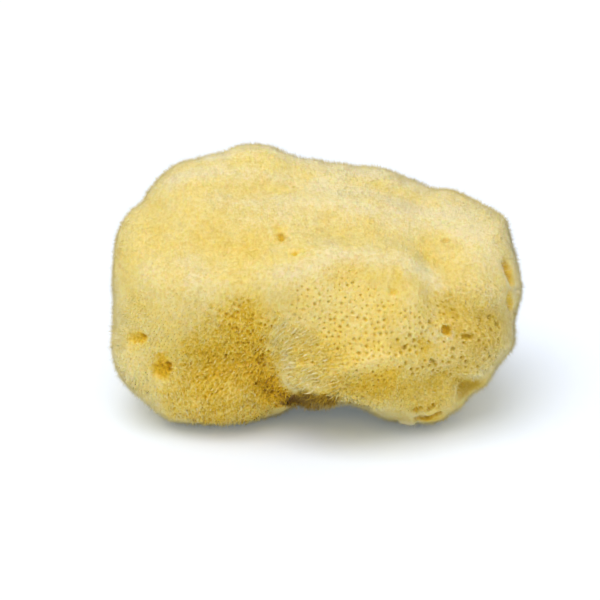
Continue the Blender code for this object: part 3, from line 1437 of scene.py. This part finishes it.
        # Painted shade: roots are painted darker, most at a tuft's edge, and tips less so, least on stout
        # fibres.
        deep_shade, tip_shade = skin_shade + 0.3 * gap_shade * (0.4 + edge), skin_shade * 0.6 - 0.15 * gap_shade * stout
        keep = (root[:, 2] > self.low * MM) & (self.dice.random(count) > gather * self.bare * edge)
        side = unit(np.cross(tip - root, self.dice.normal(size=(count, 3))))
        other = unit(np.cross(tip - root, side))
        start = root - normal * self.sunk * MM
        corners = np.stack([*ring(start, side, other, width / 2), tip], axis=1)
        tones = np.stack([foot, foot, foot, head], axis=1)
        painted_shade = np.stack([deep_shade, deep_shade, deep_shade, np.minimum(deep_shade, tip_shade)], axis=1)
        return Spikes(corners, tones, painted_shade, self.facing(corners, normal, self.roundness)).only(keep)

    def locks(self) -> Spikes:
        """Grows the locks, one on every tuft: bent spikes of a few fibres that cling together.

        Returns:
            The locks.
        """
        ground, surface = self.ground, self.ground.surface
        corner = self.feet()[0]
        free = (ground.open[corner] < 0.3) & (surface.points[corner, 2] > self.lock_low * MM)
        corner = corner[free & (ground.mixed("lock")[corner] > self.finest)]
        names = ("length", "lock", "spread", "lean", "vary", "run", "gap_shade")
        long, wide, spread, lean, vary, run, gap_shade = (ground.mixed(name)[corner] for name in names)
        root, tone, skin_shade = surface.points[corner], ground.tone[corner], ground.painted_shade[corner]
        normal = surface.relaxed(surface.normals(), 2)[corner]
        along, to_bend, to_tip = self.bends
        combed = ground.comb[corner] * lean[:, None] * along
        count = len(corner)
        chance = self.dice.normal(size=(2, count, 3))
        stray, bent = self.strays
        first = unit(normal + combed + stray * chance[0] * spread[:, None])
        second = unit(0.4 * normal + first + combed + bent * chance[1] * spread[:, None])
        length = self.sizes(long, *self.lock_uneven)
        width = self.sizes(wide, *self.lock_wide)
        bend = root + first * (to_bend * length)[:, None]
        tip = self.lifted(bend + second * (to_tip * length)[:, None])
        side = unit(np.cross(first, self.dice.normal(size=(count, 3))))
        other = np.cross(first, side)
        start = root - normal * self.lock_sunk * MM
        lower = ring(start, side, other, width * self.rings[0])
        upper = ring(bend, side, other, width * self.rings[1])
        corners = np.stack([*lower, *upper, tip], axis=1)
        tone += vary * self.dice.normal(size=count)
        low, middle, high = (tone + share * run for share in self.runs)
        tones = np.stack([low, low, low, middle, middle, middle, high], axis=1)
        # Painted shade: a lock is painted darkest at its root and less so up to its tip.
        low, middle, high = skin_shade + 0.7 * gap_shade, 0.6 * skin_shade, 0.4 * skin_shade
        painted_shade = np.stack([low, low, low, middle, middle, middle, high], axis=1)
        return Spikes(corners, tones, painted_shade, self.facing(corners, normal, self.lock_roundness))

    def build(self) -> list[Object]:
        """Grows the whole coat.

        Returns:
            The pieces, with the locks last.
        """
        fibres = self.fibres()
        parts = np.array_split(np.arange(len(fibres.tones)), self.pieces)
        pieces = [fibres.only(part).piece(f"fibres_{number}", SPIKE) for number, part in enumerate(parts, 1)]
        return [*pieces, self.locks().piece("locks", BENT_SPIKE)]


@dataclass(frozen=True)
class Value:
    """A node's output that takes part in arithmetic.

    Attributes:
        sheet: The material's nodes.
        socket: The output itself.
    """

    sheet: "Sheet"
    socket: bpy.types.NodeSocket

    def _math(self, operation: str, *values: "Value | float") -> "Value":
        """Adds a Math node."""
        node = self.sheet.node("ShaderNodeMath", {"operation": operation}, dict(enumerate(values)))
        return self.sheet.out(node)

    def __add__(self, other: "Value | float") -> "Value":
        """This plus another."""
        return self._math("ADD", self, other)

    __radd__ = __add__

    def __sub__(self, other: "Value | float") -> "Value":
        """This less another."""
        return self._math("SUBTRACT", self, other)

    def __rsub__(self, other: float) -> "Value":
        """A number less this."""
        return self._math("SUBTRACT", other, self)

    def __mul__(self, other: "Value | float") -> "Value":
        """This times another."""
        return self._math("MULTIPLY", self, other)

    __rmul__ = __mul__

    def clipped(self) -> "Value":
        """This kept between 0 and 1."""
        return self.sheet.out(self.sheet.node("ShaderNodeClamp", {}, {"Value": self}))


@dataclass
class Sheet:
    """The nodes of one material, by its name."""

    name: str

    def __post_init__(self) -> None:
        """Makes the material with its Principled shader."""
        self.material = bpy.data.materials.new(self.name)
        self.material.use_nodes = True
        self.tree = self.material.node_tree
        self.shader = self.tree.nodes["Principled BSDF"]

    def node(self, kind: str, settings: dict, inputs: dict) -> bpy.types.Node:
        """Adds a node.

        Args:
            kind: The node's type.
            settings: Its own settings, set first. Stops set a colour ramp's stops.
            inputs: Values or links for its sockets, by name or number.

        Returns:
            The node.
        """
        made = self.tree.nodes.new(kind)
        for name, value in settings.items():
            if name == "stops":
                self.set_stops(made.color_ramp, value)
            else:
                setattr(made, name, value)
        for name, value in inputs.items():
            self.feed(made.inputs[name], value)
        return made

    @staticmethod
    def set_stops(ramp: bpy.types.ColorRamp, stops: Sequence[tuple[float, Colour]]) -> None:
        """Gives a colour ramp its stops.

        Args:
            ramp: The ramp.
            stops: The place and the colour of each.
        """
        while len(ramp.elements) < len(stops):
            ramp.elements.new(0.5)
        for element, (place, colour) in zip(ramp.elements, stops):
            element.position = place
            element.color = (*colour, 1.0)

    def feed(self, socket: bpy.types.NodeSocket, value: "Value | float | Sequence[float]") -> None:
        """Links a value to a socket, or sets a number or a colour on it.

        Args:
            socket: The socket.
            value: What it gets.
        """
        if isinstance(value, Value):
            self.tree.links.new(value.socket, socket)
        elif isinstance(value, tuple) and socket.type == "RGBA":
            socket.default_value = (*value, 1.0)
        else:
            socket.default_value = value

    def finish(self, inputs: dict) -> bpy.types.Material:
        """Feeds the shader's own sockets, by name.

        Args:
            inputs: Values or links for them.

        Returns:
            The material.
        """
        for name, value in inputs.items():
            self.feed(self.shader.inputs[name], value)
        return self.material

    def out(self, node: bpy.types.Node, name: str | int = 0) -> Value:
        """One output of a node."""
        return Value(self, node.outputs[name])

    def attribute(self, name: str) -> Value:
        """A value that the mesh holds at its corners."""
        return self.out(self.node("ShaderNodeAttribute", {"attribute_name": name}, {}), "Fac")

    def place(self) -> Value:
        """The place on the piece, in metres."""
        return self.out(self.node("ShaderNodeTexCoord", {}, {}), "Object")

    def cloud(self, size: float, rough: float) -> Value:
        """Soft noise about 0.5.

        Args:
            size: The width of its features.
            rough: How strong its finer layers are.

        Returns:
            The noise.
        """
        inputs = {"Vector": self.place(), "Scale": 1.0 / (size * MM), "Detail": 3.0, "Roughness": rough}
        return self.out(self.node("ShaderNodeTexNoise", {}, inputs), "Fac")

    def cells(self, size: float, warp: Value) -> Value:
        """The distance to the middle of the nearest cell, in cells.

        Args:
            size: The width of a cell.
            warp: How far the place is shifted in every direction.

        Returns:
            The distance.
        """
        shift = self.out(self.node("ShaderNodeCombineXYZ", {}, {axis: warp * MM for axis in range(3)}))
        moved = self.node("ShaderNodeVectorMath", {"operation": "ADD"}, {0: self.place(), 1: shift})
        inputs = {"Vector": self.out(moved), "Scale": 1.0 / (size * MM)}
        return self.out(self.node("ShaderNodeTexVoronoi", {}, inputs), "Distance")

    def fibre(self, tone: Value, painted_shade: Value) -> Value:
        """The colour of the sponge's fibre.

        Args:
            tone: Its tone, from 0 for brown to 1 for cream.
            painted_shade: How much painted shade darkens it.

        Returns:
            The colour.
        """
        ramp = self.node("ShaderNodeValToRGB", {"stops": TONES}, {"Fac": tone})
        settings = {"data_type": "RGBA", "clamp_factor": True}
        inputs = {0: painted_shade, 6: self.out(ramp, "Color"), 7: PAINTED_SHADE_COLOUR}
        return self.out(self.node("ShaderNodeMix", settings, inputs), 2)

    def bump(self, height: Value, strength: float, distance: float, normal: Value | None = None) -> Value:
        """A normal that follows a height.

        Args:
            height: The height.
            strength: How strongly it shows.
            distance: The height of 1.
            normal: A normal to start from.

        Returns:
            The normal.
        """
        inputs = {"Height": height, "Strength": strength, "Distance": distance * MM}
        if normal is not None:
            inputs["Normal"] = normal
        return self.out(self.node("ShaderNodeBump", {}, inputs))


@dataclass(frozen=True)
class SkinFinish:
    """Dry matted fibre, painted pale on its swells and honey yellow and darker in its hollows and pores, as
    painted light and shade.
    """

    roughness: float = 0.95
    specular: float = 0.1
    sheen: float = 0.3
    sheen_roughness: float = 0.4
    glow: Colour = (1.0, 0.7, 0.25)
    glow_reach: float = 0.22

    def material(self) -> bpy.types.Material:
        """Makes the material.

        Returns:
            The material.
        """
        sheet = Sheet("sponge skin")
        patchy, grain = sheet.cloud(1.6, 0.6), sheet.cloud(0.35, 0.7)
        netted = sheet.cells(0.95, (grain - 0.5) * 0.5)
        strength = sheet.attribute("grain")
        spots = ((patchy - 0.5) * 0.6 + (grain - 0.5) * 0.6 + (netted - 0.5) * 0.3) * strength
        # Painted shade: the grain darkens the skin at random, for shade in the gaps between fibres.
        painted_shade = sheet.attribute("painted_shade") + ((0.5 - grain) * 1.3 - (netted - 0.5) * 0.8) * strength
        fine = sheet.bump(sheet.cloud(0.25, 0.7), 0.4, 0.10)
        return sheet.finish({
            "Base Color": sheet.fibre(sheet.attribute("tone") + spots, painted_shade.clipped()),
            "Normal": sheet.bump(sheet.cloud(0.9, 0.6), 0.5, 0.25, fine),
            "Roughness": self.roughness,
            "Specular IOR Level": self.specular,
            "Sheen Weight": self.sheen,
            "Sheen Roughness": self.sheen_roughness,
            "Subsurface Weight": 1.0,
            "Subsurface Radius": self.glow,
            "Subsurface Scale": self.glow_reach * MM,
        })


@dataclass(frozen=True)
class FibreFinish:
    """Single fibres, whose colour runs from brown to cream with their tone, darkened by painted shade."""

    roughness: float = 0.9
    specular: float = 0.1
    sheen: float = 0.12
    sheen_roughness: float = 0.4
    sheen_tint: Colour = (1.0, 0.96, 0.85)

    def material(self) -> bpy.types.Material:
        """Makes the material.

        Returns:
            The material.
        """
        sheet = Sheet("sponge fibre")
        place = sheet.out(sheet.node("ShaderNodeUVMap", {"uv_map": "OFBake"}, {}))
        parts = sheet.node("ShaderNodeSeparateXYZ", {}, {"Vector": place})
        return sheet.finish({
            "Base Color": sheet.fibre(sheet.out(parts, "X"), sheet.out(parts, "Y")),
            "Roughness": self.roughness,
            "Specular IOR Level": self.specular,
            "Sheen Weight": self.sheen,
            "Sheen Roughness": self.sheen_roughness,
            "Sheen Tint": self.sheen_tint,
        })


@dataclass(frozen=True)
class FloorFinish:
    """Plain white paper, with a little cold light of its own where the sponge shades it."""

    white: Colour = (0.885, 0.93, 1.0)
    cold: Colour = (0.45, 0.62, 1.0)
    glow: float = 0.12
    roughness: float = 0.9

    def material(self) -> bpy.types.Material:
        """Makes the material.

        Returns:
            The material.
        """
        return Sheet("white paper").finish({
            "Base Color": self.white,
            "Roughness": self.roughness,
            "Specular IOR Level": 0.0,
            "Emission Color": self.cold,
            "Emission Strength": self.glow,
        })


@dataclass(frozen=True)
class Studio:
    """A white floor under one broad soft light from above, with light from all round.

    Attributes:
        reach: Half the floor's width in metres.
        key: The strength of the light from above.
        spread: How broad that light is, as an angle in radians.
        towards: The way that it shines.
        fill: The strength of the light from all round.
    """

    reach: float = 6.0
    key: float = 1.75
    spread: float = math.radians(50.0)
    towards: Triple = (0.19, 0.34, -0.90)
    fill: float = 0.60

    def build(self) -> None:
        """Makes the floor and the lights."""
        mesh = bmesh.new()
        bmesh.ops.create_grid(mesh, x_segments=1, y_segments=1, size=self.reach)
        floor = add_mesh("floor", mesh)
        floor.data.materials.append(FloorFinish().material())
        light = add_object("key", bpy.data.lights.new("key", "SUN"))
        light.data.energy = self.key
        light.data.angle = self.spread
        light.rotation_euler = Vector(self.towards).to_track_quat("-Z", "Y").to_euler()
        world = bpy.data.worlds.new("studio")
        world.use_nodes = True
        background = world.node_tree.nodes["Background"]
        background.inputs["Color"].default_value = (1.0, 1.0, 1.0, 1.0)
        background.inputs["Strength"].default_value = self.fill
        bpy.context.scene.world = world
        bpy.context.scene.view_settings.view_transform = "Standard"


@dataclass(frozen=True)
class Sponge:
    """The whole sponge: its skin and its coat of fibres."""

    node: str
    view: PhotoView

    def build(self) -> list[Object]:
        """Builds and dresses the sponge.

        Returns:
            The pieces, with the skin first.
        """
        skin, ground = Skin(self.node, self.view).build()
        skin.data.materials.append(SkinFinish().material())
        coat = Coat(ground).build()
        fibre = FibreFinish().material()
        for piece in coat:
            piece.data.materials.append(fibre)
        pieces = [skin, *coat]
        for piece in pieces:
            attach(piece, "root")
        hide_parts(self.node)
        return pieces


def main() -> None:
    """Builds the sponge, the studio and the camera."""
    logging.basicConfig(level=logging.INFO, format="%(name)s: %(message)s", stream=sys.stdout)
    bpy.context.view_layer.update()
    view = PhotoView()
    view.build()
    Studio().build()
    for piece in Sponge(next(iter(frame["nodes"])), view).build():
        log.info("%s is in place", piece.name)


if __name__ == "__main__":
    main()
